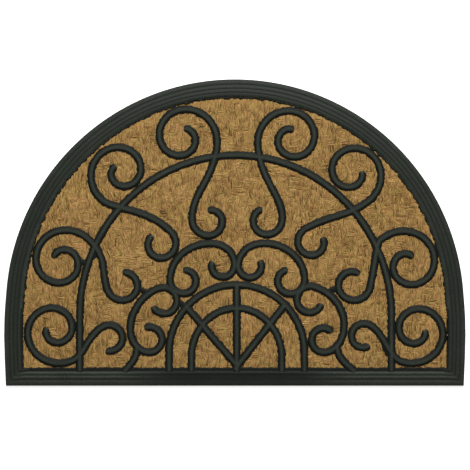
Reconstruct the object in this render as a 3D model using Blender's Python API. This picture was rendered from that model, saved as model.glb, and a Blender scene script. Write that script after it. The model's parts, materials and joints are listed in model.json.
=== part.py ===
"""Half-round doormat: a moulded rubber mat with a coir sheet laid in its tray.

The rubber moulding is one piece. It has a thin backing, a ribbed border that
rises from the outer edge, and an openwork grille of raised scrolls and fan
arches that runs over the coir and joins the border. The coir sheet is a flat
half-round slab that fills the tray below the grille.

Lengths in the tables are millimetres. Plan positions are measured from the
middle of the straight edge: x to the right, y towards the round edge. The
parts hang on an empty that puts the origin under the middle of the mat.
"""

import math
from typing import NamedTuple

import bmesh
import bpy

MM = 0.001

# Driving dimensions, in millimetres.
ARC_RADIUS = 298.0
ARC_CENTRE = 100.5
ARC_START = 4.5  # degrees above level at which the sides run into the arc
DEPTH = ARC_CENTRE + ARC_RADIUS
CLEARANCE = 0.3

BACKING = 2.0
COIR_THICKNESS = 4.7
TRAY_INSET = 23.2  # outer edge to the foot of the tray wall
RIDGE_WIDTH = 8.6
RIDGE_TOP_WIDTH = 5.0
RIDGE_RISE = 1.9
RIDGE_START = 18.8  # legs start this far in from the straight edge, inside the last rib

COIR_BOTTOM = BACKING + CLEARANCE
COIR_TOP = COIR_BOTTOM + COIR_THICKNESS
RIDGE_UNDER = COIR_TOP + CLEARANCE

ARC_STEPS = 68
TURN_STEP = 12.0  # degrees of a curl for each straight facet
LINK_STEPS = 9
ARCH_STEPS = 36
TAIL_STEPS = 4
SHARP_ANGLE = 30.0  # degrees between faces from which an edge stays sharp

RUBBER_COLOR = "#2d322d"
COIR_COLOR = "#947545"


class BorderRing(NamedTuple):
    """One line round the border: how far in from the outer edge, and how high."""

    inset: float
    height: float


class Curl(NamedTuple):
    """One spiral end of a scroll, from its tip out to where it joins the link."""

    eye_x: float
    eye_y: float
    tip_angle: float  # degrees, where the tip lies round the eye
    sweep: float  # degrees turned from tip to link, positive anticlockwise
    tip_radius: float
    out_radius: float
    handle: float  # how far the curl's own direction carries into the link


class Scroll(NamedTuple):
    """Two curls and the smooth link between them."""

    name: str
    lift: float
    first: Curl
    second: Curl


class Arch(NamedTuple):
    """A half ellipse on two straight legs."""

    name: str
    lift: float
    centre_x: float
    half_span: float
    spring_y: float
    rise: float


class Bar(NamedTuple):
    """A straight ridge."""

    name: str
    lift: float
    from_x: float
    from_y: float
    to_x: float
    to_y: float


class Tail(NamedTuple):
    """A short curved ridge that leaves a scroll straight down and bends outwards."""

    name: str
    lift: float
    top_x: float
    top_y: float
    foot_x: float


# The short sides swell a little: (x, y) up the right one, from the foot to the arc.
SIDE = ((297.7, 0.0), (299.2, 35.0), (300.0, 66.0), (299.6, 88.0), (298.7, 104.0))

# Four ribs with three grooves between them, then the flank and the tray wall.
BORDER_RINGS = (
    BorderRing(0.0, 2.6),
    BorderRing(1.4, 4.6),
    BorderRing(5.2, 5.7),
    BorderRing(6.8, 4.7),
    BorderRing(8.3, 6.8),
    BorderRing(10.8, 7.3),
    BorderRing(12.2, 6.0),
    BorderRing(13.5, 8.1),
    BorderRing(16.0, 8.5),
    BorderRing(17.4, 7.1),
    BorderRing(18.2, 9.3),
    BorderRing(21.0, 9.6),
    BorderRing(22.8, 6.8),
    BorderRing(TRAY_INSET, BACKING),
)

# Ridges that cross or touch have unlike lifts, so that no two tops lie in one plane.
SCROLLS = (
    Scroll(
        "crown_left", 0.1,
        Curl(-68.4, 322.0, 71, -445, 12.8, 46.6, 44),
        Curl(-32.7, 214.8, 92, -278, 13.4, 23.0, 34),
    ),
    Scroll(
        "crown_right", 0.1,
        Curl(73.8, 320.7, 84, 468, 12.4, 44.9, 47),
        Curl(40.2, 215.5, 107, 258, 14.8, 21.5, 31),
    ),
    Scroll(
        "shoulder_left", 0.1,
        Curl(-147.0, 278.0, 140, 455, 11.2, 44.6, 19),
        Curl(-96.7, 184.2, 139, 268, 15.2, 21.1, 43),
    ),
    Scroll(
        "shoulder_right", 0.1,
        Curl(151.1, 277.3, -3, -417, 14.2, 43.5, 34),
        Curl(100.9, 186.3, 18, -266, 14.2, 20.5, 44),
    ),
    Scroll(
        "flank_left", 0.1,
        Curl(-224.4, 161.1, 145, -468, 12.8, 45.7, 32),
        Curl(-144.5, 131.6, 93, -262, 15.8, 22.3, 28),
    ),
    Scroll(
        "flank_right", 0.1,
        Curl(224.9, 158.0, 62, 438, 11.7, 48.0, 6),
        Curl(153.1, 132.2, 60, 292, 15.8, 23.0, 28),
    ),
    Scroll(
        "foot_left", 0.1,
        Curl(-233.3, 72.9, 172, 486, 11.2, 45.6, 18),
        Curl(-162.8, 62.0, 253, 227, 16.5, 17.3, 23),
    ),
    Scroll(
        "foot_right", 0.1,
        Curl(235.0, 72.0, -4, -471, 12.1, 44.3, 17),
        Curl(166.9, 64.5, -67, -233, 14.2, 17.0, 20),
    ),
    Scroll(
        "fan_top_left", 0.2,
        Curl(-16.6, 156.5, 165, 205, 13.2, 16.5, 43),
        Curl(-65.5, 137.0, 95, -282, 13.3, 18.8, 50),
    ),
    Scroll(
        "fan_top_right", 0.3,
        Curl(20.4, 156.0, 18, -213, 13.7, 16.5, 43),
        Curl(71.1, 137.2, 103, 264, 14.0, 19.7, 49),
    ),
    Scroll(
        "fan_side_left", 0.3,
        Curl(-92.2, 110.1, 214, 255, 15.5, 17.9, 37),
        Curl(-111.0, 60.6, 113, -230, 16.0, 17.0, 36),
    ),
    Scroll(
        "fan_side_right", 0.2,
        Curl(97.5, 111.9, -33, -257, 15.9, 17.9, 51),
        Curl(115.4, 60.4, 50, 244, 14.4, 17.0, 30),
    ),
)

ARCHES = (
    Arch("main_arch", 0.0, 1.0, 202.2, 92.0, 207.6),
    Arch("fan_arch_outer", 0.1, 2.5, 87.8, 44.0, 87.6),
    Arch("fan_arch_inner", 0.0, 2.3, 58.6, 38.0, 63.0),
)

BARS = (
    Bar("spoke", 0.2, 2.5, RIDGE_START, 2.5, 131.0),
    Bar("ray_left", 0.3, 4.0, 25.1, -63.2, 103.4),
    Bar("ray_right", 0.4, 0.8, 23.2, 64.7, 105.2),
)

TAILS = (
    Tail("tail_left", 0.0, -127.2, 50.0, -143.5),
    Tail("tail_right", 0.0, 132.8, 52.5, 155.3),
)


def clear_scene():
    """Remove whatever the scene holds at the start."""
    for obj in list(bpy.data.objects):
        bpy.data.objects.remove(obj, do_unlink=True)


def linear(hex_color):
    """An sRGB hex colour as linear RGBA."""
    channels = [int(hex_color[i:i + 2], 16) / 255 for i in (1, 3, 5)]
    rgb = [c / 12.92 if c <= 0.04045 else ((c + 0.055) / 1.055) ** 2.4 for c in channels]
    return (*rgb, 1.0)


def make_material(name, hex_color, roughness):
    material = bpy.data.materials.new(name)
    material.use_nodes = True
    shader = material.node_tree.nodes["Principled BSDF"]
    shader.inputs["Base Color"].default_value = linear(hex_color)
    shader.inputs["Roughness"].default_value = roughness
    shader.inputs["Metallic"].default_value = 0.0
    return material


def make_collection(name, hidden=False):
    collection = bpy.data.collections.new(name)
    bpy.context.scene.collection.children.link(collection)
    collection.hide_render = hidden
    return collection


def add_object(name, data, collection, parent=None):
    obj = bpy.data.objects.new(name, data)
    collection.objects.link(obj)
    obj.parent = parent
    return obj


def half_round_outline():
    """Plan points of the mat, anticlockwise from the right end of the straight edge."""
    points = list(SIDE)
    for i in range(ARC_STEPS + 1):
        angle = math.radians(blend(ARC_START, 180.0 - ARC_START, i / ARC_STEPS))
        points.append((ARC_RADIUS * math.cos(angle), ARC_CENTRE + ARC_RADIUS * math.sin(angle)))
    return points + [(-x, y) for x, y in reversed(SIDE)]


def half_round_face(bm):
    """A flat half-round face on the floor, facing up."""
    verts = [bm.verts.new((x * MM, y * MM, 0.0)) for x, y in half_round_outline()]
    return bm.faces.new(verts)


def inset_face(bm, face, width):
    """Draw the face in by an even width."""
    bm.normal_update()
    bmesh.ops.inset_region(
        bm, faces=[face], thickness=width * MM, use_even_offset=True, use_boundary=True
    )


def extrude_face(bm, face, height):
    """Extrude the face straight up and return the face on top."""
    grown = bmesh.ops.extrude_face_region(bm, geom=[face])["geom"]
    verts = [item for item in grown if isinstance(item, bmesh.types.BMVert)]
    bmesh.ops.translate(bm, verts=verts, vec=(0.0, 0.0, height * MM))
    return next(item for item in grown if isinstance(item, bmesh.types.BMFace))


def mesh_from(bm, name):
    bmesh.ops.recalc_face_normals(bm, faces=bm.faces)
    mesh = bpy.data.meshes.new(name)
    bm.to_mesh(mesh)
    bm.free()
    mesh.shade_smooth()
    mesh.set_sharp_from_angle(angle=math.radians(SHARP_ANGLE))
    return mesh


def tray_mesh():
    """The backing with its ribbed border: the outline, drawn in ring by ring."""
    bm = bmesh.new()
    face = half_round_face(bm)
    bottom = bmesh.ops.duplicate(bm, geom=[face])
    floor = next(item for item in bottom["geom"] if isinstance(item, bmesh.types.BMFace))
    bmesh.ops.reverse_faces(bm, faces=[floor])
    for before, ring in zip((BorderRing(0.0, 0.0), *BORDER_RINGS), BORDER_RINGS):
        if ring.inset == before.inset:
            face = extrude_face(bm, face, ring.height)
            continue
        inset_face(bm, face, ring.inset - before.inset)
        rise = (0.0, 0.0, (ring.height - before.height) * MM)
        bmesh.ops.translate(bm, verts=face.verts, vec=rise)
    bmesh.ops.remove_doubles(bm, verts=bm.verts, dist=0.001 * MM)
    return mesh_from(bm, "rubber_moulding")


def coir_mesh():
    """The coir slab: the outline drawn in past the tray wall, then given its thickness."""
    bm = bmesh.new()
    face = half_round_face(bm)
    inset_face(bm, face, TRAY_INSET + CLEARANCE)
    rim = [other for other in bm.faces if other is not face]
    bmesh.ops.delete(bm, geom=rim, context="FACES")
    bmesh.ops.translate(bm, verts=bm.verts, vec=(0.0, 0.0, COIR_BOTTOM * MM))
    extrude_face(bm, face, COIR_THICKNESS)
    return mesh_from(bm, "coir_sheet")


def blend(start, end, share):
    return start + (end - start) * share


def curl_points(curl):
    """Points of a curl from its tip outwards. The root of the radius grows evenly."""
    steps = round(abs(curl.sweep) / TURN_STEP)
    points = []
    for i in range(steps + 1):
        share = i / steps
        angle = math.radians(curl.tip_angle + curl.sweep * share)
        radius = blend(math.sqrt(curl.tip_radius), math.sqrt(curl.out_radius), share) ** 2
        points.append((curl.eye_x + radius * math.cos(angle), curl.eye_y + radius * math.sin(angle)))
    return points


def link_handle(curl):
    """The point that the curl aims at as it runs into the link."""
    turn = math.radians(curl.sweep)
    angle = math.radians(curl.tip_angle) + turn
    growth = 2 * (1 - math.sqrt(curl.tip_radius / curl.out_radius)) / abs(turn)
    side = math.copysign(1.0, curl.sweep)
    across = growth * math.cos(angle) - side * math.sin(angle)
    along = growth * math.sin(angle) + side * math.cos(angle)
    reach = curl.handle / math.hypot(across, along)
    end_x, end_y = curl_points(curl)[-1]
    return end_x + across * reach, end_y + along * reach


def bezier(start, start_handle, end_handle, end, steps):
    """Points of a cubic curve, both ends included."""
    points = []
    for i in range(steps + 1):
        t = i / steps
        weights = ((1 - t) ** 3, 3 * (1 - t) ** 2 * t, 3 * (1 - t) * t * t, t ** 3)
        corners = (start, start_handle, end_handle, end)
        x = sum(weight * corner[0] for weight, corner in zip(weights, corners))
        y = sum(weight * corner[1] for weight, corner in zip(weights, corners))
        points.append((x, y))
    return points


def scroll_path(scroll):
    """A scroll from one tip to the other."""
    first = curl_points(scroll.first)
    second = curl_points(scroll.second)
    second.reverse()
    handles = link_handle(scroll.first), link_handle(scroll.second)
    link = bezier(first[-1], *handles, second[0], LINK_STEPS)
    return first + link[1:-1] + second


def arch_path(arch):
    """An arch from the border up, over and down again."""
    points = [(arch.centre_x - arch.half_span, RIDGE_START)]
    for i in range(ARCH_STEPS + 1):
        angle = math.pi * i / ARCH_STEPS
        x = arch.centre_x - arch.half_span * math.cos(angle)
        points.append((x, arch.spring_y + arch.rise * math.sin(angle)))
    points.append((arch.centre_x + arch.half_span, RIDGE_START))
    return points


def bar_path(bar):
    return [(bar.from_x, bar.from_y), (bar.to_x, bar.to_y)]


def tail_path(tail):
    """A tail down into the border: upright at its top, leaning outwards at its foot."""
    start = (tail.top_x, tail.top_y)
    end = (tail.foot_x, RIDGE_START)
    drop = tail.top_y - RIDGE_START
    lean = tail.foot_x - tail.top_x
    start_handle = (tail.top_x, tail.top_y - drop / 2)
    end_handle = (tail.foot_x - lean / 2, RIDGE_START + drop / 3)
    return bezier(start, start_handle, end_handle, end, TAIL_STEPS)


def poly_curve(name, points, closed=False):
    """A curve of straight pieces through (x, y, z) points in millimetres."""
    curve = bpy.data.curves.new(name, "CURVE")
    curve.dimensions = "3D"
    spline = curve.splines.new("POLY")
    spline.points.add(len(points) - 1)
    for point, (x, y, z) in zip(spline.points, points):
        point.co = (x * MM, y * MM, z * MM, 1.0)
    spline.use_cyclic_u = closed
    return curve


def make_section(helpers):
    """The ridge's cross section: flat on top, with sloping flanks."""
    base = RIDGE_WIDTH / 2
    top = RIDGE_TOP_WIDTH / 2
    corners = [(-base, 0.0, 0.0), (base, 0.0, 0.0), (top, RIDGE_RISE, 0.0), (-top, RIDGE_RISE, 0.0)]
    return add_object("ridge_section", poly_curve("ridge_section", corners, closed=True), helpers)


def sweep_ridge(name, path, lift, section, helpers, parent):
    """A ridge: the section swept along its path and closed at both ends."""
    curve = poly_curve(name, [(x, y, RIDGE_UNDER + lift) for x, y in path])
    curve.twist_mode = "Z_UP"
    curve.bevel_mode = "OBJECT"
    curve.bevel_object = section
    curve.use_fill_caps = True
    rail = add_object(name + "_rail", curve, helpers)
    bpy.context.view_layer.update()
    graph = bpy.context.evaluated_depsgraph_get()
    mesh = bpy.data.meshes.new_from_object(rail.evaluated_get(graph))
    bm = bmesh.new()
    bm.from_mesh(mesh)
    bpy.data.meshes.remove(mesh)
    bpy.data.objects.remove(rail)
    bmesh.ops.remove_doubles(bm, verts=bm.verts, dist=0.001 * MM)
    ridge = add_object(name, mesh_from(bm, name), helpers, parent)
    ridge.hide_render = True
    ridge.display_type = "WIRE"


def make_ridges(section, helpers, ridges, parent):
    """Every ridge of the grille, as operands for the union with the tray."""
    families = (
        (ARCHES, arch_path),
        (BARS, bar_path),
        (TAILS, tail_path),
        (SCROLLS, scroll_path),
    )
    for rows, path_of in families:
        for row in rows:
            sweep_ridge(row.name, path_of(row), row.lift, section, ridges, parent)
    section.hide_render = True
    section.display_type = "WIRE"


def make_rubber_moulding(parts, ridges, parent):
    moulding = add_object("rubber_moulding", tray_mesh(), parts, parent)
    moulding.data.materials.append(make_material("moulded_rubber", RUBBER_COLOR, 0.6))
    union = moulding.modifiers.new("grille", "BOOLEAN")
    union.operation = "UNION"
    union.operand_type = "COLLECTION"
    union.collection = ridges
    union.solver = "EXACT"
    union.use_self = True


def make_coir_sheet(parts, parent):
    sheet = add_object("coir_sheet", coir_mesh(), parts, parent)
    sheet.data.materials.append(make_material("coir", COIR_COLOR, 0.95))


def main():
    clear_scene()
    parts = make_collection("half_round_doormat")
    helpers = make_collection("helpers", hidden=True)
    ridges = make_collection("ridges", hidden=True)
    centre = add_object("mat_centre", None, parts)
    centre.location = (0.0, -DEPTH / 2 * MM, 0.0)
    section = make_section(helpers)
    make_ridges(section, helpers, ridges, centre)
    make_rubber_moulding(parts, ridges, centre)
    make_coir_sheet(parts, centre)
    bpy.context.view_layer.update()


main()
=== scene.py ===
"""A half-round doormat: moulded rubber with raised scrolls over pressed coir.

The frame holds two solids, the rubber moulding and the coir sheet. Each gets a
finer piece in its place here, and the coir gets its yarns and loose hairs.

Plan positions in the tables are millimetres from the middle of the straight
edge: x to the right, y towards the round edge.
"""

import json
import math
import random
from typing import NamedTuple

import bmesh
import bpy
from bpy.props import FloatProperty, FloatVectorProperty, IntProperty, PointerProperty
from bpy.types import Operator, Panel, PropertyGroup
from mathutils import Matrix, Vector, kdtree, noise

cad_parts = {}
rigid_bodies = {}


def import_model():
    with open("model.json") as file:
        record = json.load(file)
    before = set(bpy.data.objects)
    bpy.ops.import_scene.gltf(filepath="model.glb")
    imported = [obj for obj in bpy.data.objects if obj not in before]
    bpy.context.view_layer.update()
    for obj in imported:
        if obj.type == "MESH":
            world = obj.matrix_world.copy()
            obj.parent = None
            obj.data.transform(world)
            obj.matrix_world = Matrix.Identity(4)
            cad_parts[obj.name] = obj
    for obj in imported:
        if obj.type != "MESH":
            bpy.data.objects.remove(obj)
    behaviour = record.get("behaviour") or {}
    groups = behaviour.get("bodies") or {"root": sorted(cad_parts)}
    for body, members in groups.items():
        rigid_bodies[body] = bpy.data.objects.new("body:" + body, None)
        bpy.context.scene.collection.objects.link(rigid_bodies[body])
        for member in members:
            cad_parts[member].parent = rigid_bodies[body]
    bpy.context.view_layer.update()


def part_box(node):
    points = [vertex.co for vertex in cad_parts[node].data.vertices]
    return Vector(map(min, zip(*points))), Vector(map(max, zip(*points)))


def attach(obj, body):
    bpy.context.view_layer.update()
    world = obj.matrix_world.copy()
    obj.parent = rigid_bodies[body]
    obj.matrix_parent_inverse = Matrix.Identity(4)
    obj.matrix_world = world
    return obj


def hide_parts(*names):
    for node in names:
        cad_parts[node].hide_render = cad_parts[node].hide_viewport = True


bl_info = {
    "name": "Half-round doormat",
    "version": (1, 0, 0),
    "blender": (4, 5, 0),
    "location": "3D View > Sidebar > Doormat",
    "description": "Builds a half-round doormat of moulded rubber and pressed coir",
    "category": "Add Mesh",
}

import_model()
MAT_LOW, MAT_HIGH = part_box("rubber_moulding")
COIR_LOW, COIR_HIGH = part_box("coir_sheet")

MM = 0.001
WIDTH = (MAT_HIGH.x - MAT_LOW.x) / MM
DEPTH = (MAT_HIGH.y - MAT_LOW.y) / MM
ARC_RADIUS = 298.0
ARC_CENTRE = DEPTH - ARC_RADIUS
ARC_START = math.radians(4.5)  # above level, where the sides run into the arc
BACKING = 2.0
TRAY_INSET = 23.2  # outer edge to the foot of the tray wall
COIR_BOTTOM = COIR_LOW.z / MM
COIR_INSET = -MAT_LOW.x / MM + COIR_LOW.x / MM
RIDGE_START = 18.8  # legs start inside the border's last rib
RIDGE_UNDER = 6.95

ARC_STEPS = 400
STRAIGHT_STEP = 2.1
TURN_STEP = 2.0
LINK_STEPS = 60
ARCH_STEPS = 300
TAIL_STEPS = 30
RIDGE_STEP = 1.4
FLASH_STEP = 1.3
# Within CROWN_HALF of its centreline a ridge's crown gets painted highlight as well as wear.
CROWN_HALF = 2.9  # half the width of a ridge's crown, out to where no wear shows
FLANK_START = 20.6  # inset from which the border falls away to the coir
BLUNT_END = (0.84, 0.95, 0.99)  # shares of the section at the last points of a ridge
ROUND_TIP = (0.5, 0.78, 0.92, 0.98)
TIP_STEPS = 4  # steps of a curl that its rounded tip takes up
SHARP_ANGLE = math.radians(50)
SLIVER = 0.02  # edges shorter than this are left behind by a union and dissolved

TONE = "tone"
# The wear attribute holds wear together with painted highlight on crowns and painted shade on flanks,
# in grooves and on the foot's step.
WEAR_AND_PAINTED_LIGHT = "wear"


class Rib(NamedTuple):
    """One rib of the border: where it ends, its crown, the groove after it and its crown's wear with
    painted highlight.
    """

    end: float
    crown: float
    groove: float
    wear: float


class Curl(NamedTuple):
    """One spiral end of a scroll, from its tip out to where it joins the link."""

    eye_x: float
    eye_y: float
    tip_angle: float  # degrees, where the tip lies round the eye
    sweep: float  # degrees turned from tip to link, positive anticlockwise
    tip_radius: float
    out_radius: float
    handle: float  # how far the curl's own direction carries into the link


class Scroll(NamedTuple):
    """Two curls and the smooth link between them."""

    name: str
    lift: float
    first: Curl
    second: Curl


class Arch(NamedTuple):
    """A half ellipse on two straight legs."""

    name: str
    lift: float
    centre_x: float
    half_span: float
    spring_y: float
    rise: float


class Bar(NamedTuple):
    """A straight ridge."""

    name: str
    lift: float
    from_x: float
    from_y: float
    to_x: float
    to_y: float


class Tail(NamedTuple):
    """A short curved ridge from a scroll down into the border."""

    name: str
    lift: float
    top_x: float
    top_y: float
    foot_x: float


class WearAndShade(NamedTuple):
    """The ribs' wear and painted highlight along one part of the border, and the painted shade of the
    last one's flank.
    """

    share: float
    flank: float
    flank_start: float


# The short sides swell a little: (x, y) up the right one, from the foot to the arc.
SIDE = ((297.7, 0.0), (299.2, 35.0), (300.0, 66.0), (299.6, 88.0), (298.7, 104.0))

# From the outer edge inwards: rounded ribs that climb towards the coir.
EDGE_HEIGHT = 2.6
RIBS = (
    Rib(6.8, 4.9, 5.1, 0.39),
    Rib(12.2, 6.5, 6.7, 0.37),
    Rib(17.4, 8.1, 8.3, 0.32),
    Rib(22.7, 9.6, 7.6, 0.41),
)
RIB_SHARES = (0.1, 0.26, 0.5, 0.74, 0.9, 1.0)

# The coir bulges, and yarns and hairs have their middles, only where they lie further
# than this from a ridge's centreline and from the outer edge.
BULGE_CLEAR = (4.0, 26.0)
YARN_CLEAR = (3.4, 25.4)
HAIR_CLEAR = (5.5, 29.0)
SHEET_TOP = 6.5
BULGE = 0.35
BULGE_WIDTH = 6.0
SHEET_STEP = 1.9
UPRIGHT_SHARE = 0.74
MISSING_SHARE = 0.06
BLOCK_LEAN = 0.14  # radians, how widely the blocks' directions spread
YARN_TURN = 0.11  # radians, how widely yarns spread within their block
YARN_BENDS = (-1.0, 0.1, 0.9)
HAIR_BENDS = (-2.2, -0.8, 1.2, 2.6)

LAMP_PLACE = (0.2, 2.2, 1.8)
LAMP_WIDTH = 1.3
LAMP_DEPTH = 0.9

# The foot is the straight side. Its ribs lie a little further in, end in a step down to the
# coir that is painted dark as shade, and are trodden flat in the middle of the side.
FOOT_CROWNS = (4.9, 11.4, 16.7)
FOOT_STEP = 19.8
FOOT_STEP_HEIGHT = 7.5
FOOT_FLAT = 75.0
FOOT_FULL = 165.0

# The flank next to the coir is darkened as painted shade, less so along the arc than along the short
# sides. Grooves and the foot's step get painted shade and crowns painted highlight, besides wear.
GROOVE_WEAR_AND_SHADE = 0.09
CROWN_WEAR_AND_HIGHLIGHT = 0.55
STEP_WEAR_AND_SHADE = 0.04
ARC_WEAR_AND_SHADE = WearAndShade(0.94, 0.66, 20.0)
SIDE_WEAR_AND_SHADE = WearAndShade(1.08, 0.15, 20.4)

SCROLLS = (
    Scroll(
        "crown_left", 0.1,
        Curl(-68.4, 322.0, 71, -445, 12.8, 46.6, 44),
        Curl(-32.7, 214.8, 92, -278, 13.4, 23.0, 34),
    ),
    Scroll(
        "crown_right", 0.1,
        Curl(73.8, 320.7, 84, 468, 12.4, 44.9, 47),
        Curl(40.2, 215.5, 115, 250, 14.8, 21.5, 31),
    ),
    Scroll(
        "shoulder_left", 0.1,
        Curl(-147.0, 278.0, 140, 455, 11.2, 44.6, 19),
        Curl(-96.7, 184.2, 139, 268, 15.2, 21.1, 43),
    ),
    Scroll(
        "shoulder_right", 0.1,
        Curl(151.1, 277.3, -3, -417, 14.2, 43.5, 34),
        Curl(100.9, 186.3, 18, -266, 14.2, 20.5, 44),
    ),
    Scroll(
        "flank_left", 0.1,
        Curl(-224.4, 161.1, 145, -468, 12.8, 45.7, 32),
        Curl(-144.5, 131.6, 85, -254, 15.8, 22.3, 28),
    ),
    Scroll(
        "flank_right", 0.1,
        Curl(224.9, 158.0, 62, 438, 11.7, 48.0, 6),
        Curl(153.1, 132.2, 65, 287, 15.8, 23.0, 28),
    ),
    Scroll(
        "foot_left", 0.1,
        Curl(-233.3, 72.9, 172, 486, 11.2, 45.6, 18),
        Curl(-162.8, 62.0, 261, 219, 16.5, 17.3, 23),
    ),
    Scroll(
        "foot_right", 0.1,
        Curl(235.0, 72.0, -4, -471, 12.1, 44.3, 17),
        Curl(166.9, 64.5, -63, -237, 14.2, 17.0, 20),
    ),
    Scroll(
        "fan_top_left", 0.2,
        Curl(-16.6, 156.5, 165, 205, 13.2, 16.5, 43),
        Curl(-65.5, 137.0, 90, -277, 13.3, 18.8, 50),
    ),
    Scroll(
        "fan_top_right", 0.3,
        Curl(20.4, 156.0, 23, -218, 13.7, 16.5, 43),
        Curl(71.1, 137.2, 108, 259, 14.0, 19.7, 49),
    ),
    Scroll(
        "fan_side_left", 0.3,
        Curl(-92.2, 110.1, 214, 255, 15.5, 17.9, 37),
        Curl(-111.0, 60.6, 104, -221, 16.0, 17.0, 36),
    ),
    Scroll(
        "fan_side_right", 0.2,
        Curl(97.5, 111.9, -26, -264, 15.9, 17.9, 51),
        Curl(115.4, 60.4, 50, 244, 14.4, 17.0, 30),
    ),
)

ARCHES = (
    Arch("main_arch", 0.0, 1.0, 202.2, 92.0, 207.6),
    Arch("fan_arch_outer", 0.1, 2.5, 87.8, 44.0, 87.6),
    Arch("fan_arch_inner", 0.0, 2.3, 58.6, 38.0, 63.0),
)

BARS = (
    Bar("spoke", 0.2, 2.5, RIDGE_START, 2.5, 131.0),
    Bar("ray_left", 0.3, 4.0, 25.1, -63.2, 103.4),
    Bar("ray_right", 0.4, 0.8, 23.2, 64.7, 105.2),
)

# Webs of hot rubber that pooled where two ridges nearly meet.
WEBS = (
    Bar("web_flank_fan_left", 0.05, -128.0, 127.0, -112.0, 121.0),
    Bar("web_fan_arch_left", 0.05, -77.0, 113.0, -63.0, 101.0),
    Bar("web_flank_left_inner", 0.05, -185.0, 181.0, -183.0, 165.0),
    Bar("web_flank_left_outer", 0.05, -205.0, 163.0, -190.0, 158.0),
    Bar("web_flank_fan_right", 0.05, 138.0, 130.0, 120.0, 122.0),
    Bar("web_foot_right", 0.05, 201.0, 38.0, 193.0, 55.0),
)

TAILS = (
    Tail("tail_left", 0.0, -127.2, 50.0, -143.5),
    Tail("tail_right", 0.0, 132.8, 52.5, 155.3),
)


def linear(hex_color):
    """An sRGB hex colour as linear RGB."""
    channels = [int(hex_color[i:i + 2], 16) / 255 for i in (1, 3, 5)]
    return [c / 12.92 if c <= 0.04045 else ((c + 0.055) / 1.055) ** 2.4 for c in channels]


def blend(start, end, share):
    return start + (end - start) * share


def smooth_share(value, low, high):
    """0 up to low, 1 from high on, and an even swing between them."""
    share = min(max((value - low) / (high - low), 0.0), 1.0)
    return share * share * (3 - 2 * share)


def at(x, y, z):
    """A plan position in millimetres as a point of the frame."""
    return Vector((x * MM, (y - DEPTH / 2) * MM, z * MM))


def plan(point):
    """The plan position in millimetres of a point of the frame."""
    return point.x / MM, point.y / MM + DEPTH / 2


def arc_point(angle, radius=ARC_RADIUS):
    return radius * math.cos(angle), ARC_CENTRE + radius * math.sin(angle)


def half_width(y):
    """Half the mat's width at a height below the arc."""
    rows = (*SIDE, arc_point(ARC_START))
    for (x0, y0), (x1, y1) in zip(rows, rows[1:]):
        if y <= y1:
            return blend(x0, x1, (y - y0) / (y1 - y0))
    return rows[-1][0]


def inset_at(x, y):
    """How far a plan position lies in from the outer edge."""
    if y >= ARC_CENTRE + abs(x) * math.tan(ARC_START):
        return ARC_RADIUS - math.hypot(x, y - ARC_CENTRE)
    return min(y, half_width(y) - abs(x))


# Materials


def color_property(name, description, hex_color):
    return FloatVectorProperty(
        name=name, description=description, subtype="COLOR", size=3,
        min=0.0, max=1.0, default=linear(hex_color),
    )


def add_node(tree, kind, settings=None, **inputs):
    """A node with its settings, and with its inputs set or linked by name, or by number as i0, i1."""
    node = tree.nodes.new(kind)
    for name, value in (settings or {}).items():
        setattr(node, name, value)
    for name, value in inputs.items():
        numbered = name[0] == "i" and name[1:].isdigit()
        socket = node.inputs[int(name[1:]) if numbered else name.replace("_", " ")]
        if isinstance(value, bpy.types.NodeSocket):
            tree.links.new(value, socket)
        else:
            socket.default_value = value
    return node


def add_math(tree, operation, *values, clamp=False):
    """The result of a maths node."""
    settings = {"operation": operation, "use_clamp": clamp}
    inputs = {f"i{i}": value for i, value in enumerate(values)}
    return add_node(tree, "ShaderNodeMath", settings, **inputs).outputs[0]


def start_material(name):
    """A new material with only its output left in, and its tree."""
    material = bpy.data.materials.new(name)
    material.use_nodes = True
    tree = material.node_tree
    tree.nodes.clear()
    return material, tree


def finish_material(tree, shader):
    output = tree.nodes.new("ShaderNodeOutputMaterial")
    tree.links.new(shader.outputs["BSDF"], output.inputs["Surface"])


def rubber_material(settings):
    """Moulded crumb rubber: a near-black matt skin, greyer where feet and dust reach it, with painted
    highlight on crowns and painted shade on flanks, in grooves and on the foot's step.
    """
    material, tree = start_material("moulded_crumb_rubber")
    place = add_node(tree, "ShaderNodeTexCoord").outputs["Object"]
    # The attribute brings in wear and also painted light: painted highlight on crowns, painted shade
    # on flanks and in grooves.
    wear = add_node(tree, "ShaderNodeAttribute", {"attribute_name": WEAR_AND_PAINTED_LIGHT}).outputs["Fac"]
    # Dust lies in patches a few centimetres across.
    dust = add_node(
        tree, "ShaderNodeTexNoise", Vector=place, Scale=1 / (22 * MM), Detail=4.0, Roughness=0.6,
    ).outputs["Fac"]
    # Crumbs are under a millimetre across and are drawn at 1.9 mm, so that they show.
    crumb = add_node(
        tree, "ShaderNodeTexNoise", Vector=place, Scale=1 / (1.9 * MM), Detail=2.0, Roughness=0.6,
    ).outputs["Fac"]
    crumb = add_node(
        tree, "ShaderNodeMapRange", Value=crumb,
        From_Min=0.3, From_Max=0.7, To_Min=0.15, To_Max=0.85,
    ).outputs["Result"]
    grime = add_math(tree, "ADD", dust, crumb)
    worn_and_lit = add_math(tree, "MULTIPLY", wear, grime, clamp=True)
    color = add_node(
        tree, "ShaderNodeMix", {"data_type": "RGBA"},
        i0=worn_and_lit, i6=(*settings.deep_color, 1.0), i7=(*settings.worn_and_highlight_color, 1.0),
    ).outputs[2]
    bump = add_node(
        tree, "ShaderNodeBump", Height=crumb, Strength=0.5, Distance=0.25 * MM,
    ).outputs["Normal"]
    roughness = add_node(
        tree, "ShaderNodeMapRange", Value=dust, To_Min=0.5, To_Max=0.72,
    ).outputs["Result"]
    shader = add_node(
        tree, "ShaderNodeBsdfPrincipled", Base_Color=color, Roughness=roughness, IOR=1.52,
        Specular_IOR_Level=0.12, Metallic=0.0, Normal=bump,
    )
    finish_material(tree, shader)
    return material


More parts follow.
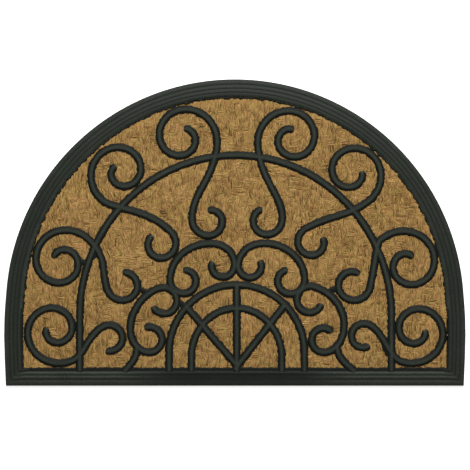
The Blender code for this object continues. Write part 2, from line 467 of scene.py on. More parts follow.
def coir_material(name, settings, shade):
    """Pressed coir: dull brown husk fibre, each strand with a tone of its own; shade makes the whole
    material darker, as painted shade.
    """
    material, tree = start_material(name)
    place = add_node(tree, "ShaderNodeTexCoord").outputs["Object"]
    tone = add_node(tree, "ShaderNodeAttribute", {"attribute_name": TONE}).outputs["Fac"]
    # Single fibres are 0.2 mm thick and are drawn at 0.6 mm, so that they show.
    stretched = add_node(
        tree, "ShaderNodeMapping", Vector=place,
        Scale=(1 / (0.6 * MM), 1 / (5 * MM), 1 / (0.6 * MM)),
    ).outputs["Vector"]
    fibre = add_node(
        tree, "ShaderNodeTexNoise", Vector=stretched, Scale=1.0, Detail=3.0, Roughness=0.65,
    ).outputs["Fac"]
    # Batches of husk differ over a few centimetres.
    batch = add_node(
        tree, "ShaderNodeTexNoise", Vector=place, Scale=1 / (30 * MM), Detail=2.0,
    ).outputs["Fac"]
    streak = add_math(tree, "MULTIPLY_ADD", fibre, 0.7, -0.35 + shade)
    patch = add_math(tree, "MULTIPLY_ADD", batch, 0.4, -0.2)
    value = add_math(tree, "ADD", tone, streak)
    value = add_math(tree, "ADD", value, patch, clamp=True)
    ramp = add_node(tree, "ShaderNodeValToRGB", Fac=value)
    stops = ramp.color_ramp.elements
    stops[0].position = 0.0
    stops[0].color = (*settings.dark_color, 1.0)
    stops[1].position = 1.0
    stops[1].color = (*settings.light_color, 1.0)
    middle = stops.new(0.5)
    middle.color = (*settings.husk_color, 1.0)
    # Some husks are redder and some greener, in tufts a few strands wide.
    tuft = add_node(
        tree, "ShaderNodeTexNoise", Vector=place, Scale=1 / (5 * MM), Detail=3.0,
    ).outputs["Fac"]
    hue = add_node(tree, "ShaderNodeMapRange", Value=tuft, To_Min=0.463, To_Max=0.535)
    color = add_node(
        tree, "ShaderNodeHueSaturation", Hue=hue.outputs["Result"], Color=ramp.outputs["Color"],
    ).outputs["Color"]
    bump = add_node(
        tree, "ShaderNodeBump", Height=fibre, Strength=0.6, Distance=0.3 * MM,
    ).outputs["Normal"]
    shader = add_node(
        tree, "ShaderNodeBsdfPrincipled",
        Base_Color=color, Roughness=0.85, IOR=1.45, Specular_IOR_Level=0.2,
        Metallic=0.0, Normal=bump,
    )
    finish_material(tree, shader)
    return material


# Paths of the ridges


def curl_points(curl):
    """Points of a curl from its tip outwards. The root of the radius grows evenly."""
    steps = round(abs(curl.sweep) / TURN_STEP)
    points = []
    for i in range(-TIP_STEPS, steps + 1):
        share = i / steps
        angle = math.radians(curl.tip_angle + curl.sweep * share)
        radius = blend(math.sqrt(curl.tip_radius), math.sqrt(curl.out_radius), share) ** 2
        points.append((curl.eye_x + radius * math.cos(angle), curl.eye_y + radius * math.sin(angle)))
    return points


def link_handle(curl):
    """The point that the curl aims at as it runs into the link."""
    turn = math.radians(curl.sweep)
    angle = math.radians(curl.tip_angle) + turn
    growth = 2 * (1 - math.sqrt(curl.tip_radius / curl.out_radius)) / abs(turn)
    side = math.copysign(1.0, curl.sweep)
    across = growth * math.cos(angle) - side * math.sin(angle)
    along = growth * math.sin(angle) + side * math.cos(angle)
    reach = curl.handle / math.hypot(across, along)
    end_x, end_y = curl_points(curl)[-1]
    return end_x + across * reach, end_y + along * reach


def bezier(start, start_handle, end_handle, end, steps):
    """Points of a cubic curve, both ends included."""
    points = []
    for i in range(steps + 1):
        t = i / steps
        weights = ((1 - t) ** 3, 3 * (1 - t) ** 2 * t, 3 * (1 - t) * t * t, t ** 3)
        corners = (start, start_handle, end_handle, end)
        x = sum(weight * corner[0] for weight, corner in zip(weights, corners))
        y = sum(weight * corner[1] for weight, corner in zip(weights, corners))
        points.append((x, y))
    return points


def even_steps(points, step):
    """The same line with its points an even step apart, both ends included."""
    spans = [math.dist(a, b) for a, b in zip(points, points[1:])]
    count = max(1, round(sum(spans) / step))
    stride = sum(spans) / count
    result = [points[0]]
    passed, due = 0.0, stride
    for start, end, span in zip(points, points[1:], spans):
        while due <= passed + span and len(result) < count:
            share = (due - passed) / span
            result.append(tuple(blend(a, b, share) for a, b in zip(start, end)))
            due += stride
        passed += span
    return result + [points[-1]]


def scroll_path(scroll):
    """A scroll from one tip to the other."""
    first = curl_points(scroll.first)
    second = curl_points(scroll.second)
    second.reverse()
    handles = link_handle(scroll.first), link_handle(scroll.second)
    link = bezier(first[-1], *handles, second[0], LINK_STEPS)
    return first + link[1:-1] + second


def arch_path(arch):
    """An arch from the border up, over and down again."""
    points = [(arch.centre_x - arch.half_span, RIDGE_START)]
    for i in range(ARCH_STEPS + 1):
        angle = math.pi * i / ARCH_STEPS
        x = arch.centre_x - arch.half_span * math.cos(angle)
        points.append((x, arch.spring_y + arch.rise * math.sin(angle)))
    return points + [(arch.centre_x + arch.half_span, RIDGE_START)]


def bar_path(bar):
    return [(bar.from_x, bar.from_y), (bar.to_x, bar.to_y)]


def tail_path(tail):
    """A tail down into the border: upright at its top, leaning outwards at its foot."""
    start = (tail.top_x, tail.top_y)
    end = (tail.foot_x, RIDGE_START)
    drop = tail.top_y - RIDGE_START
    lean = tail.foot_x - tail.top_x
    start_handle = (tail.top_x, tail.top_y - drop / 2)
    end_handle = (tail.foot_x - lean / 2, RIDGE_START + drop / 3)
    return bezier(start, start_handle, end_handle, end, TAIL_STEPS)


def ridge_paths():
    """Every ridge as (name, lift, plan path)."""
    families = ((ARCHES, arch_path), (BARS, bar_path), (TAILS, tail_path), (SCROLLS, scroll_path))
    return [
        (row.name, row.lift, even_steps(path_of(row), RIDGE_STEP))
        for rows, path_of in families for row in rows
    ]


def ridge_tree():
    """A search tree over the ridges' centrelines, for what lies beside them."""
    points = [at(x, y, 0) for _, _, path in ridge_paths() for x, y in path]
    tree = kdtree.KDTree(len(points))
    for i, point in enumerate(points):
        tree.insert(point, i)
    tree.balance()
    return tree


def ridge_distance(tree, x, y):
    return tree.find(at(x, y, 0))[2] / MM


def room(tree, x, y, clear):
    """How much further than it must a plan position lies from the ridges and the outer edge."""
    from_ridge, from_edge = clear
    return min(ridge_distance(tree, x, y) - from_ridge, inset_at(x, y) - from_edge)


# Rubber


def half_round_face(bm, arc_steps):
    """The mat's outline as one flat face, its arc spun from one vertex."""
    start = bm.verts.new(at(*arc_point(ARC_START), 0))
    spun = bmesh.ops.spin(
        bm, geom=[start], cent=at(0, ARC_CENTRE, 0), axis=(0, 0, 1), dvec=(0, 0, 0),
        angle=math.pi - 2 * ARC_START, steps=arc_steps, use_merge=False, use_normal_flip=False,
        use_duplicate=False,
    )
    end = next(item for item in spun["geom_last"] if isinstance(item, bmesh.types.BMVert))
    left = [bm.verts.new(at(-x, y, 0)) for x, y in reversed(SIDE)]
    right = [bm.verts.new(at(x, y, 0)) for x, y in SIDE]
    corners = [end, *left, *right, start]
    for a, b in zip(corners, corners[1:]):
        bm.edges.new((a, b))
    face = bmesh.ops.contextual_create(bm, geom=bm.edges)["faces"][0]
    face.normal_update()
    if face.normal.z < 0:
        face.normal_flip()
    return face


def extrude_face(bm, face, height):
    """Extrude the face straight up and return the face on top. The face below stays."""
    grown = bmesh.ops.extrude_face_region(bm, geom=[face])["geom"]
    verts = [item for item in grown if isinstance(item, bmesh.types.BMVert)]
    bmesh.ops.translate(bm, verts=verts, vec=(0.0, 0.0, height * MM))
    return next(item for item in grown if isinstance(item, bmesh.types.BMFace))


def inset_face(bm, face, width):
    """Draw the face in by an even width."""
    bm.normal_update()
    bmesh.ops.inset_region(
        bm, faces=[face], thickness=width * MM, use_even_offset=True, use_boundary=True
    )


def border_profile():
    """(inset, height) lines from the outer edge to the tray wall, with rounded ribs."""
    lines = [(0.7, EDGE_HEIGHT + 0.9)]
    start, low = 0.7, EDGE_HEIGHT + 0.9
    for rib in RIBS:
        for share in RIB_SHARES:
            base = blend(low, rib.groove, share)
            crown = rib.crown - blend(low, rib.groove, 0.5)
            height = base + crown * math.sin(math.pi * share) ** 0.6
            lines.append((blend(start, rib.end, share), height))
        start, low = rib.end, rib.groove
    lines.append((TRAY_INSET - 0.2, 6.9))
    lines.append((TRAY_INSET, BACKING))
    return lines


def refine_straight_sides(bm):
    """Cut the long edges up, as fine as the arc's."""
    for shortest, longest in ((300, 700), (10, 300)):
        edges = [e for e in bm.edges if shortest <= e.calc_length() / MM < longest]
        cuts = round(max(e.calc_length() for e in edges) / MM / STRAIGHT_STEP)
        bmesh.ops.subdivide_edges(bm, edges=edges, cuts=cuts, use_grid_fill=True)


def tray_mesh():
    """The backing with its ribbed border: the outline, drawn in line by line."""
    bm = bmesh.new()
    face = half_round_face(bm, ARC_STEPS)
    face = extrude_face(bm, face, EDGE_HEIGHT)
    before_inset, before_height = 0.0, EDGE_HEIGHT
    for inset, height in border_profile():
        inset_face(bm, face, inset - before_inset)
        rise = (0.0, 0.0, (height - before_height) * MM)
        bmesh.ops.translate(bm, verts=face.verts, vec=rise)
        before_inset, before_height = inset, height
    refine_straight_sides(bm)
    shape_foot(bm)
    bmesh.ops.recalc_face_normals(bm, faces=bm.faces)
    return to_mesh(bm, "tray")


def foot_swell(y):
    """1 on the crown of one of the foot's ribs, 0 in a groove."""
    aside = min(abs(y - crown) for crown in FOOT_CROWNS)
    return 1 - smooth_share(aside, 0.0, 3.1)


def shape_foot(bm):
    """Give the foot its own ribs, fully so from 12 mm in from its corners."""
    start, end = RIBS[0].end / 2, (RIBS[-2].end + RIBS[-1].end) / 2
    for vert in bm.verts:
        x, y = plan(vert.co)
        height = vert.co.z / MM
        if not (start < y <= RIBS[-1].end + 0.01 and height > EDGE_HEIGHT):
            continue
        share = smooth_share(half_width(y) - abs(x) - y, 0.0, 12.0)
        groove = blend(0.3, 1.2, smooth_share(abs(x), FOOT_FLAT, FOOT_FULL))
        climb = blend(RIBS[0].crown, RIBS[-1].crown, (y - start) / (end - start))
        climb -= groove * (1 - foot_swell(y))
        step = smooth_share(y, FOOT_CROWNS[-1], FOOT_STEP)
        vert.co.z = blend(height, blend(climb, FOOT_STEP_HEIGHT, step), share) * MM


def to_mesh(bm, name):
    mesh = bpy.data.meshes.new(name)
    bm.to_mesh(mesh)
    bm.free()
    return mesh


def link_object(name, data, collection=None):
    obj = bpy.data.objects.new(name, data)
    (collection or bpy.context.scene.collection).objects.link(obj)
    return obj


def poly_curve(name, points, closed=False):
    """A curve of straight pieces through points in metres."""
    curve = bpy.data.curves.new(name, "CURVE")
    curve.dimensions = "3D"
    spline = curve.splines.new("POLY")
    spline.points.add(len(points) - 1)
    for point, place in zip(spline.points, points):
        point.co = (*place, 1.0)
    spline.use_cyclic_u = closed
    return curve


def section_curve(name, half_profile):
    """A closed cross section from the right half of its upper side, foot to crown."""
    left = [(-x, y) for x, y in reversed(half_profile) if x > 0]
    points = [(x * MM, y * MM, 0.0) for x, y in [*half_profile, *left]]
    return link_object(name, poly_curve(name, points, closed=True))


def sweep(name, points, section, collection, end_sizes=BLUNT_END, closed=False):
    """The section swept along a path, its open ends drawn in, closed and rounded off."""
    curve = poly_curve(name, points, closed)
    if not closed:
        ends = curve.splines[0].points
        for i, size in enumerate(end_sizes):
            ends[i].radius = size
            ends[-1 - i].radius = size
    curve.twist_mode = "Z_UP"
    curve.bevel_mode = "OBJECT"
    curve.bevel_object = section
    curve.use_fill_caps = not closed
    rail = link_object(name + "_rail", curve)
    bpy.context.view_layer.update()
    graph = bpy.context.evaluated_depsgraph_get()
    mesh = bpy.data.meshes.new_from_object(rail.evaluated_get(graph))
    bm = bmesh.new()
    bm.from_mesh(mesh)
    bpy.data.meshes.remove(mesh)
    bpy.data.objects.remove(rail)
    bmesh.ops.remove_doubles(bm, verts=bm.verts, dist=0.001 * MM)
    caps = [face for face in bm.faces if len(face.verts) > 4]
    rims = {edge for face in caps for edge in face.edges}
    if rims:
        bmesh.ops.bevel(
            bm, geom=list(rims), offset=0.9 * MM, offset_type="OFFSET", segments=2,
            profile=0.5, affect="EDGES", clamp_overlap=True, material=-1,
        )
    bmesh.ops.recalc_face_normals(bm, faces=bm.faces)
    return link_object(name, to_mesh(bm, name), collection)


def flash_path(depth):
    """The ragged line where rubber bled over the coir all along the border's foot."""
    foot = half_width(TRAY_INSET) - TRAY_INSET
    right = [(foot, TRAY_INSET)] + [(x - TRAY_INSET, y) for x, y in SIDE if y > TRAY_INSET]
    turns = [blend(ARC_START, math.pi - ARC_START, i / ARC_STEPS) for i in range(ARC_STEPS + 1)]
    arc = [arc_point(angle, ARC_RADIUS - TRAY_INSET) for angle in turns]
    left = [(-x, y) for x, y in reversed(right)]
    line = even_steps([*right, *arc, *left, right[0]], FLASH_STEP)[:-1]
    path = []
    for (x, y), (next_x, next_y) in zip(line, line[1:] + line[:1]):
        facing = math.atan2(next_y - y, next_x - x) + math.pi / 2
        ragged = noise.noise(Vector((x / 5.5, y / 5.5, 3.0)))
        ragged += 0.6 * noise.noise(Vector((x / 2.2, y / 2.2, 7.0)))
        pull = depth * ragged * (1.0 if y > ARC_CENTRE else 0.35)
        if y < TRAY_INSET + 1 or 0 < ARC_CENTRE - y < x:
            pull -= 0.9
        x += math.cos(facing) * pull
        y += math.sin(facing) * pull
        path.append(at(x, y, RIDGE_UNDER - 0.05))
    return path


def wobble(mesh, amount):
    """Move the vertices above the coir a little: hot rubber runs out at the ridges' feet."""
    for vert in mesh.vertices:
        height = vert.co.z / MM
        if height < 4:
            continue
        foot = 0.0
        if inset_at(*plan(vert.co)) > FLANK_START + 1:
            foot = min(max((8.6 - height) / 1.4, 0.0), 1.0)
        shift = noise.noise_vector(vert.co / (8 * MM)) * 0.2
        shift += noise.noise_vector(vert.co / (3.1 * MM)) * foot
        vert.co.x += shift.x * amount * MM
        vert.co.y += shift.y * amount * MM
        vert.co.z += shift.z * amount * 0.15 * MM


def rib_wear_and_light(inset, place):
    """The border's wear and painted light: most on a crown, with painted highlight, less in a groove,
    with painted shade, and painted shade of its own on the inner flank.
    """
    start = 0.0
    for rib in RIBS[:-1]:
        if inset < rib.end:
            swell = math.sin(math.pi * (inset - start) / (rib.end - start)) ** 0.8
            return blend(GROOVE_WEAR_AND_SHADE, rib.wear * place.share, swell)
        start = rib.end
    rise = smooth_share(inset, start, start + 2.5)
    fall = smooth_share(inset, place.flank_start, place.flank_start + 1.5)
    crown = RIBS[-1].wear * place.share
    return blend(blend(GROOVE_WEAR_AND_SHADE, crown, rise), place.flank, fall)


def foot_wear_and_light(x, y):
    """The foot's wear and painted light: most on its crowns, with painted highlight near the corners,
    even in its middle, painted shade on the step.
    """
    ends = smooth_share(abs(x), FOOT_FLAT, FOOT_FULL)
    inwards = smooth_share(y, FOOT_CROWNS[0], FOOT_CROWNS[-1])
    crown = blend(blend(0.3, 0.1, inwards), blend(0.6, 1.0, inwards), ends)
    groove = blend(blend(0.2, 0.1, inwards), 0.35, ends)
    ribs = blend(groove, crown, foot_swell(y))
    return blend(ribs, STEP_WEAR_AND_SHADE, smooth_share(y, FOOT_CROWNS[-1] + 0.6, FOOT_STEP))


def mark_wear_and_light(mesh, tree):
    """Store each vertex's wear and painted light: ribs, and the crowns of the ridges as painted
    highlight, most of all; grooves, flanks and the foot's step get painted shade.
    """
    values = []
    for vert in mesh.vertices:
        x, y = plan(vert.co)
        inset = max(inset_at(x, y), 0.0)
        aside = ridge_distance(tree, x, y)
        crown = 1 - smooth_share(aside, 0.2 * CROWN_HALF, CROWN_HALF)
        # Only the upper part of a ridge gets painted highlight with its wear; the flanks below keep
        # the deep colour as painted shade.
        crown *= CROWN_WEAR_AND_HIGHLIGHT * smooth_share(vert.co.z / MM, 7.3, 8.3)
        if y < ARC_CENTRE and inset > y - 0.1:
            rib = foot_wear_and_light(x, y)
        else:
            rib = rib_wear_and_light(inset, ARC_WEAR_AND_SHADE if y > ARC_CENTRE else SIDE_WEAR_AND_SHADE)
        values.append(max(rib, crown) if inset < TRAY_INSET else crown)
    mesh.attributes.new(WEAR_AND_PAINTED_LIGHT, "FLOAT", "POINT").data.foreach_set("value", values)


def union(base, collection, name):
    """The base joined with everything in the collection, as one closed mesh."""
    modifier = base.modifiers.new("join", "BOOLEAN")
    modifier.operation = "UNION"
    modifier.operand_type = "COLLECTION"
    modifier.collection = collection
    modifier.solver = "MANIFOLD"
    bpy.context.view_layer.update()
    graph = bpy.context.evaluated_depsgraph_get()
    mesh = bpy.data.meshes.new_from_object(base.evaluated_get(graph))
    mesh.name = name
    bm = bmesh.new()
    bm.from_mesh(mesh)
    bmesh.ops.dissolve_degenerate(bm, edges=bm.edges, dist=SLIVER * MM)
    bm.to_mesh(mesh)
    bm.free()
    return mesh


def remove_helpers(*collections, objects=()):
    for collection in collections:
        for obj in list(collection.objects):
            bpy.data.objects.remove(obj, do_unlink=True)
        bpy.data.collections.remove(collection)
    for obj in objects:
        bpy.data.objects.remove(obj, do_unlink=True)


class RubberSettings(PropertyGroup):
    """Sizes and colours of the moulded rubber."""

    ridge_width: FloatProperty(
        name="Ridge width", description="Width of a raised ridge at its foot",
        default=10.5 * MM, min=4 * MM, max=14 * MM, unit="LENGTH",
    )
    ridge_rise: FloatProperty(
        name="Ridge rise", description="Height of a ridge above the coir",
        default=2.2 * MM, min=1 * MM, max=4 * MM, unit="LENGTH",
    )
    flash_depth: FloatProperty(
        name="Flash", description="How ragged the rubber's inner edge is",
        default=2.4 * MM, min=0.0, max=4 * MM, unit="LENGTH",
    )
    unevenness: FloatProperty(
        name="Unevenness", description="How far the moulding strays from its true lines",
        default=1.2 * MM, min=0.0, max=2 * MM, unit="LENGTH",
    )
    # The deep colour is the bare rubber's and also the painted shade on flanks, in grooves and on the
    # foot's step; the lighter colour is wear and painted highlight.
    deep_color: color_property("Deep colour", "Bare rubber, and painted shade on flanks and in corners", "#0e110d")
    worn_and_highlight_color: color_property("Worn and highlight colour", "Rubber on tops, where dust, wear and painted highlight show", "#393f36")


class CoirSettings(PropertyGroup):
    """Sizes and colours of the coir."""

    block: FloatProperty(
        name="Block", description="Size of one block of side-by-side yarns",
        default=8.8 * MM, min=5 * MM, max=15 * MM, unit="LENGTH",
    )
    yarn_width: FloatProperty(
        name="Yarn width", description="Width of one flattened strand of yarn",
        default=1.12 * MM, min=1 * MM, max=4 * MM, unit="LENGTH",
    )
    hair_count: IntProperty(
        name="Hairs", description="Loose hairs that lie on the yarns",
        default=2600, min=0, max=5000,
    )
    seed: IntProperty(
        name="Seed", description="Another seed lays the yarns otherwise", default=7, min=0,
    )
    dark_color: color_property("Dark husk", "The darkest strands", "#42300c")
    husk_color: color_property("Husk", "Most strands", "#a17f49")
    light_color: color_property("Light husk", "The lightest strands", "#b3925e")


class StageSettings(PropertyGroup):
    """Camera, light and floor."""

    view_width: FloatProperty(
        name="View width", description="Width of floor that the picture takes in",
        default=0.6117, min=0.1, max=3.0, unit="LENGTH",
    )
    view_height: FloatProperty(
        name="Camera height", description="Height of the camera above the floor",
        default=2.6, min=0.5, max=10.0, unit="LENGTH",
    )
    light_power: FloatProperty(
        name="Light", description="Power of the soft light beyond the round edge",
        default=100.0, min=0.0, max=2000.0, unit="POWER",
    )
    floor_color: color_property("Floor", "Plain pale floor", "#f4f4f3")
    floor_glow: FloatProperty(
        name="Floor glow", description="How strongly the floor is lit from below",
        default=0.6, min=0.0, max=5.0,
    )


class MAT_OT_rubber_moulding(Operator):
    """Model the rubber moulding: backing, ribbed border and raised scrolls"""

    bl_idname = "doormat.rubber_moulding"
    bl_label = "Rubber moulding"

    def execute(self, context):
        settings = context.scene.doormat_rubber
        half = settings.ridge_width / 2 / MM
        rise = settings.ridge_rise / MM
        ridge = section_curve("ridge_section", [
            (half, 0.0), (half * 0.9, rise * 0.23), (half * 0.76, rise * 0.47),
            (half * 0.61, rise * 0.74), (half * 0.48, rise * 0.91), (half * 0.28, rise * 0.99),
            (0.0, rise),
        ])
        web = section_curve("web_section", [
            (half * 0.8, 0.0), (half * 0.6, rise * 0.3), (half * 0.3, rise * 0.5), (0.0, rise * 0.6),
        ])
        flash = section_curve("flash_section", [(1.8, 0.0), (1.5, 0.45), (0.8, 0.75), (0.0, 0.8)])
        joined = bpy.data.collections.new("joined")
        context.scene.collection.children.link(joined)
        tipped = {scroll.name for scroll in SCROLLS}
        for name, lift, path in ridge_paths():
            points = [at(x, y, RIDGE_UNDER + lift) for x, y in path]
            sweep(name, points, ridge, joined, ROUND_TIP if name in tipped else BLUNT_END)
        for bar in WEBS:
            path = even_steps(bar_path(bar), RIDGE_STEP)
            points = [at(x, y, RIDGE_UNDER + bar.lift) for x, y in path]
            sweep(bar.name, points, web, joined, ROUND_TIP)
        sweep("flash", flash_path(settings.flash_depth / MM), flash, joined, closed=True)
        tray = link_object("tray", tray_mesh())
        mesh = union(tray, joined, "moulded_border_and_scrolls")
        remove_helpers(joined, objects=(tray, ridge, web, flash))
        mark_wear_and_light(mesh, ridge_tree())
        wobble(mesh, settings.unevenness / MM)
        mesh.shade_smooth()
        mesh.set_sharp_from_angle(angle=SHARP_ANGLE)
        mesh.materials.clear()
        mesh.materials.append(rubber_material(settings))
        piece = link_object("moulded_border_and_scrolls", mesh)
        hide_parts("rubber_moulding")
        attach(piece, "root")
        return {"FINISHED"}


def coir_top(tree, x, y):
    """Height of the coir sheet at a plan position: it bulges between the ridges."""
    free = min(max(room(tree, x, y, BULGE_CLEAR) / BULGE_WIDTH, 0.0), 1.0)
    lumps = noise.noise(Vector((x / 9.0, y / 9.0, 1.0))) * 0.25
    return SHEET_TOP + free * (BULGE + lumps)


def coir_sheet_mesh(tree):
    """The coir slab: a fine grid cut to the half round, with a wall and an underside."""
    bm = bmesh.new()
    half_x = (COIR_HIGH.x - COIR_LOW.x) / 2 / MM
    half_y = (COIR_HIGH.y - COIR_LOW.y) / 2 / MM
    bmesh.ops.create_grid(
        bm, x_segments=round(2 * half_x / SHEET_STEP),
        y_segments=round(2 * half_y / SHEET_STEP), size=1.0,
    )
    bmesh.ops.scale(bm, verts=bm.verts, vec=(half_x * MM, half_y * MM, 1.0))
    outside = [v for v in bm.verts if inset_at(*plan(v.co)) < COIR_INSET - 0.05]
    bmesh.ops.delete(bm, geom=outside, context="VERTS")
    for vert in bm.verts:
        vert.co.z = coir_top(tree, *plan(vert.co)) * MM
    rim = [edge for edge in bm.edges if edge.is_boundary]
    grown = bmesh.ops.extrude_edge_only(bm, edges=rim)["geom"]
    for item in grown:
        if isinstance(item, bmesh.types.BMVert):
            item.co.z = COIR_BOTTOM * MM
    lower = [item for item in grown if isinstance(item, bmesh.types.BMEdge)]
    bmesh.ops.contextual_create(bm, geom=lower)
    bmesh.ops.recalc_face_normals(bm, faces=bm.faces)
    tone = bm.verts.layers.float.new(TONE)
    for vert in bm.verts:
        # The sheet's tone lies below most yarns': painted shade where it shows between them.
        vert[tone] = 0.4
    return to_mesh(bm, "woven_coir_sheet")


def strand_mesh(name, sides, length, width, height, dip, bend):
    """A blunt flattened strand along y, bent sideways, with both ends dipping."""
    bm = bmesh.new()
    bmesh.ops.create_uvsphere(bm, u_segments=sides, v_segments=4, radius=1.0)
    bmesh.ops.rotate(bm, verts=bm.verts, cent=(0, 0, 0), matrix=Matrix.Rotation(math.pi / 2, 3, "X"))
    shoulders = [v for v in bm.verts if 0.1 < abs(v.co.y) < 0.95]
    bmesh.ops.scale(bm, verts=shoulders, vec=(1.3, 1.12, 1.3))
    bmesh.ops.scale(bm, verts=bm.verts, vec=(width / 2 * MM, length / 2 * MM, height / 2 * MM))
    for vert in bm.verts:
        out = (2 * vert.co.y / (length * MM)) ** 2
        vert.co.z -= dip * MM * out
        vert.co.x += bend * MM * (0.4 - out)
    bmesh.ops.recalc_face_normals(bm, faces=bm.faces)
    mesh = to_mesh(bm, name)
    mesh.attributes.new(TONE, "FLOAT", "POINT")
    return mesh


def scatter(name, templates, placements):
    """Copies of small meshes joined in one mesh, each with its own place and tone."""
    bm = bmesh.new()
    for i, (place, tone) in enumerate(placements):
        copy = templates[i % len(templates)].copy()
        copy.transform(place)
        copy.attributes[TONE].data.foreach_set("value", [tone] * len(copy.vertices))
        bm.from_mesh(copy)
        bpy.data.meshes.remove(copy)
    mesh = to_mesh(bm, name)
    mesh.shade_smooth()
    return mesh


def husk_tone(rng):
    """Tone of one strand: mostly middling, now and then very dark or very light."""
    roll = rng.random()
    if roll < 0.03:
        return rng.uniform(-0.1, 0.1)
    if roll < 0.1:
        return rng.uniform(0.2, 0.35)
    if roll > 0.97:
        return rng.uniform(0.65, 0.85)
    return rng.gauss(0.5, 0.16)


def yarn_places(settings, tree):
    """Places of the yarns: blocks of parallel yarns, most upright, some across."""
    rng = random.Random(settings.seed)
    block = settings.block / MM
    per_block = round(settings.block / settings.yarn_width)
    places = []
    rows = round(DEPTH / block)
    columns = round(WIDTH / block)
    for row in range(rows):
        for column in range(columns):
            upright = rng.random() < UPRIGHT_SHARE
            shift = 0.5 * (row % 2)
            middle_x = (column - columns / 2 + shift) * block
            middle_y = (row + 0.5 * (column % 2)) * block
            lean = rng.gauss(0.0, BLOCK_LEAN)
            for i in range(per_block):
                aside = (i + 0.5) / per_block - 0.5 + rng.uniform(-0.05, 0.05)
                slip = rng.uniform(-0.2, 0.2)
                turn = lean + rng.gauss(0.0, YARN_TURN)
                if not upright:
                    aside, slip = slip, aside
                    turn += math.pi / 2
                stretch = rng.uniform(0.8, 1.35)
                girth = rng.uniform(0.55, 1.2)
                tone = husk_tone(rng)
                missing = rng.random() < MISSING_SHARE
                x = middle_x + aside * block
                y = middle_y + slip * block
                beside = room(tree, x, y, YARN_CLEAR)
                if beside < 0 or missing:
                    continue
                lift = min(beside / 5, 1.0) * 0.25
                top = coir_top(tree, x, y) + lift + rng.uniform(-0.1, 0.15)
                place = (
                    Matrix.Translation(at(x, y, top))
                    @ Matrix.Rotation(turn, 4, "Z")
                    @ Matrix.Diagonal((girth, stretch, girth, 1.0))
                )
                places.append((place, tone))
    return places


def hair_places(settings, tree):
    """Places of loose hairs, most of them near upright."""
    rng = random.Random(settings.seed + 1)
    places = []
    while len(places) < settings.hair_count:
        x = rng.uniform(-WIDTH / 2, WIDTH / 2)
        y = rng.uniform(0, DEPTH)
        turn = rng.gauss(0.0, 0.45)
        tilt = rng.gauss(0.0, 0.02)
        stretch = rng.uniform(0.5, 1.3)
        tone = husk_tone(rng)
        if room(tree, x, y, HAIR_CLEAR) < 0:
            continue
        place = (
            Matrix.Translation(at(x, y, coir_top(tree, x, y) + 0.75))
            @ Matrix.Rotation(turn, 4, "Z")
            @ Matrix.Rotation(tilt, 4, "X")
            @ Matrix.Diagonal((1.0, stretch, 1.0, 1.0))
        )
        places.append((place, tone))
    return places


class MAT_OT_coir_sheet(Operator):
    """Model the coir sheet with its yarns and loose hairs"""

    bl_idname = "doormat.coir_sheet"
    bl_label = "Coir sheet"

    def execute(self, context):
        settings = context.scene.doormat_coir
        tree = ridge_tree()
        sheet_mesh = coir_sheet_mesh(tree)
        sheet_mesh.shade_smooth()
        sheet_mesh.set_sharp_from_angle(angle=SHARP_ANGLE)
        # The sheet's material is shaded a little darker still, as painted shade.
        sheet_mesh.materials.append(coir_material("coir_ground", settings, -0.02))
        sheet = link_object("woven_coir_sheet", sheet_mesh)
        strands = coir_material("pressed_coir_yarn", settings, 0.0)
        length = settings.block / MM * 1.15
        width = settings.yarn_width / MM * 1.15
        yarns = [strand_mesh("yarn", 4, length, width, 0.85, 0.4, bend) for bend in YARN_BENDS]
        hairs = [strand_mesh("hair", 3, 15.0, 0.4, 0.4, 0.3, bend) for bend in HAIR_BENDS]
        places = yarn_places(settings, tree)
        places.sort(key=lambda item: item[0].translation.x)
        middle = len(places) // 2
        groups = (
            ("coir_yarns_left", yarns, places[:middle]),
            ("coir_yarns_right", yarns, places[middle:]),
            ("coir_hairs", hairs, hair_places(settings, tree)),
        )
        for name, templates, some in groups:
            mesh = scatter(name, templates, some)
            mesh.materials.append(strands)
            piece = link_object(name, mesh)
            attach(piece, "root")
        for template in yarns + hairs:
            bpy.data.meshes.remove(template)
        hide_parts("coir_sheet")
        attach(sheet, "root")
        return {"FINISHED"}


class MAT_OT_stage(Operator):
    """Set up the floor, the soft light and the camera straight above the mat"""

    bl_idname = "doormat.stage"
    bl_label = "Stage"

    def execute(self, context):
        settings = context.scene.doormat_stage
        floor_mesh = floor_plane(24.0)
        floor_mesh.materials.append(floor_material(settings))
        floor = link_object("floor", floor_mesh)
        softbox = bpy.data.lights.new("overhead_softbox", "AREA")
        softbox.shape = "RECTANGLE"
        softbox.size = LAMP_WIDTH
        softbox.size_y = LAMP_DEPTH
        softbox.energy = settings.light_power
        lamp = link_object("overhead_softbox", softbox)
        lamp.location = LAMP_PLACE
        lamp.rotation_euler = lamp.location.to_track_quat("Z", "Y").to_euler()
        world = bpy.data.worlds.new("pale_room")
        world.use_nodes = True
        background = world.node_tree.nodes["Background"]
        background.inputs["Color"].default_value = (1.0, 1.0, 1.0, 1.0)
        background.inputs["Strength"].default_value = 0.5
        context.scene.world = world
        context.scene.view_settings.view_transform = "Standard"
        camera = bpy.data.cameras.new("camera")
        camera.sensor_width = 36.0
        camera.lens = camera.sensor_width * settings.view_height / settings.view_width
        eye = link_object("camera", camera)
        eye.location = (0.0002, -0.0032, settings.view_height)
        context.scene.camera = eye
        return {"FINISHED"}


def floor_plane(size):
    bm = bmesh.new()
    bmesh.ops.create_grid(bm, x_segments=1, y_segments=1, size=size / 2)
    bmesh.ops.translate(bm, verts=bm.verts, vec=(0.0, 0.0, -0.2 * MM))
    return to_mesh(bm, "floor")


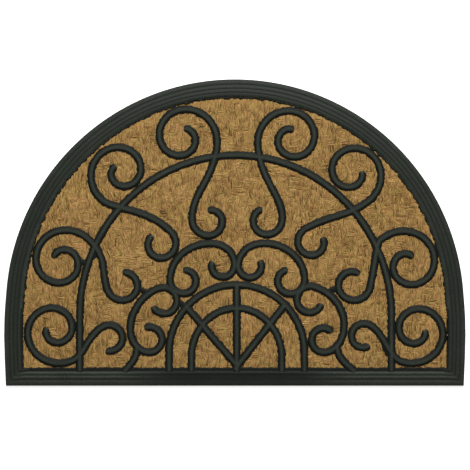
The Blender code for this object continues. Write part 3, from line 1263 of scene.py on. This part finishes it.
def floor_material(settings):
    """Backlit matt acrylic of a light table: even and white, it takes up the mat's shadow."""
    material, tree = start_material("backlit_matt_acrylic")
    place = add_node(tree, "ShaderNodeTexCoord").outputs["Object"]
    cloud = add_node(tree, "ShaderNodeTexNoise", Vector=place, Scale=1 / (400 * MM)).outputs["Fac"]
    roughness = add_node(
        tree, "ShaderNodeMapRange", Value=cloud, To_Min=0.9, To_Max=1.0,
    ).outputs["Result"]
    shader = add_node(
        tree, "ShaderNodeBsdfPrincipled", Base_Color=(*settings.floor_color, 1.0), Roughness=roughness,
        Emission_Color=(*settings.floor_color, 1.0), Emission_Strength=settings.floor_glow,
    )
    finish_material(tree, shader)
    return material


class MAT_PT_doormat(Panel):
    """The doormat's settings and pieces"""

    bl_idname = "MAT_PT_doormat"
    bl_label = "Doormat"
    bl_space_type = "VIEW_3D"
    bl_region_type = "UI"
    bl_category = "Doormat"

    def draw(self, context):
        rows = (
            (MAT_OT_rubber_moulding, "doormat_rubber"),
            (MAT_OT_coir_sheet, "doormat_coir"),
            (MAT_OT_stage, "doormat_stage"),
        )
        for operator, group in rows:
            box = self.layout.box()
            settings = getattr(context.scene, group)
            for name in settings.bl_rna.properties.keys():
                if name not in ("rna_type", "name"):
                    box.prop(settings, name)
            box.operator(operator.bl_idname)


CLASSES = (
    RubberSettings,
    CoirSettings,
    StageSettings,
    MAT_OT_rubber_moulding,
    MAT_OT_coir_sheet,
    MAT_OT_stage,
    MAT_PT_doormat,
)


def register():
    for cls in CLASSES:
        bpy.utils.register_class(cls)
    bpy.types.Scene.doormat_rubber = PointerProperty(type=RubberSettings)
    bpy.types.Scene.doormat_coir = PointerProperty(type=CoirSettings)
    bpy.types.Scene.doormat_stage = PointerProperty(type=StageSettings)


def unregister():
    del bpy.types.Scene.doormat_stage
    del bpy.types.Scene.doormat_coir
    del bpy.types.Scene.doormat_rubber
    for cls in reversed(CLASSES):
        bpy.utils.unregister_class(cls)


def main():
    register()
    bpy.ops.doormat.rubber_moulding()
    bpy.ops.doormat.coir_sheet()
    bpy.ops.doormat.stage()


if __name__ == "__main__":
    main()
